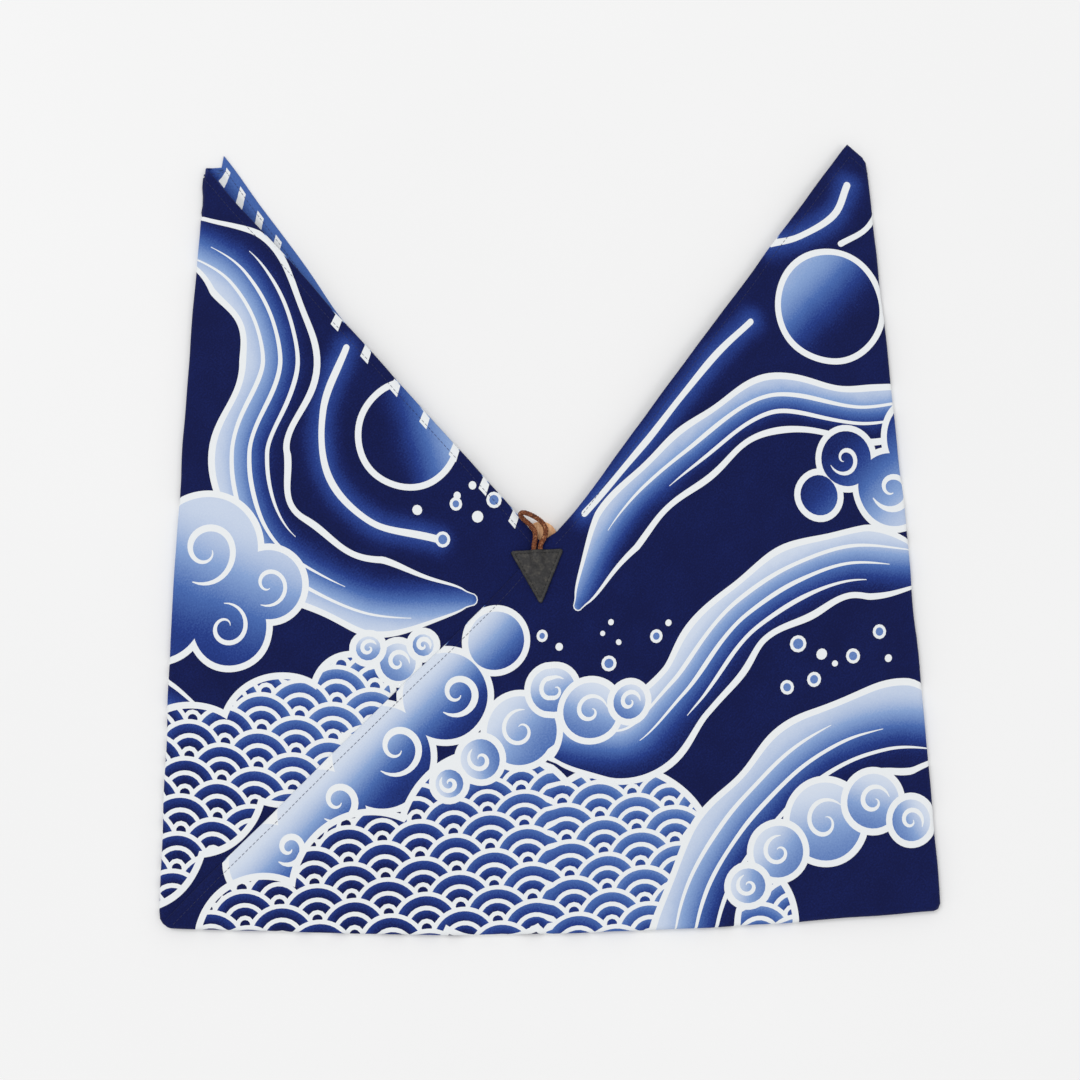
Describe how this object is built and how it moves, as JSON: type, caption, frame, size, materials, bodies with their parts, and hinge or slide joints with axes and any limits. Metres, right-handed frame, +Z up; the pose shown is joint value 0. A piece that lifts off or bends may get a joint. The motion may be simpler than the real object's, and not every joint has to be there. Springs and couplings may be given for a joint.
{
  "type": "azuma bag",
  "caption": "Folded cotton azuma bag lying flat on its back, with two tying ends, a V-shaped mouth, a leather patch with a cord loop, and a wooden button.",
  "frame": {"origin": "under the middle of the bag, on the surface that it lies on", "axes": "+Z up through the flat bag, from its back to its front; +Y from the bottom fold to the tying ends; +X to the right of someone who looks at the front"},
  "size_m": [0.4962, 0.5233, 0.0186],
  "materials": {
    "cloth": "matt",
    "leather": "satin",
    "cord": "matt",
    "wood": "satin"
  },
  "bodies": {
    "root": {"bag_cloth": "cloth", "front_patch": "leather", "cord_loop": "cord", "wooden_button": "wood", "button_tie": "cord"}
  },
  "joints": []
}
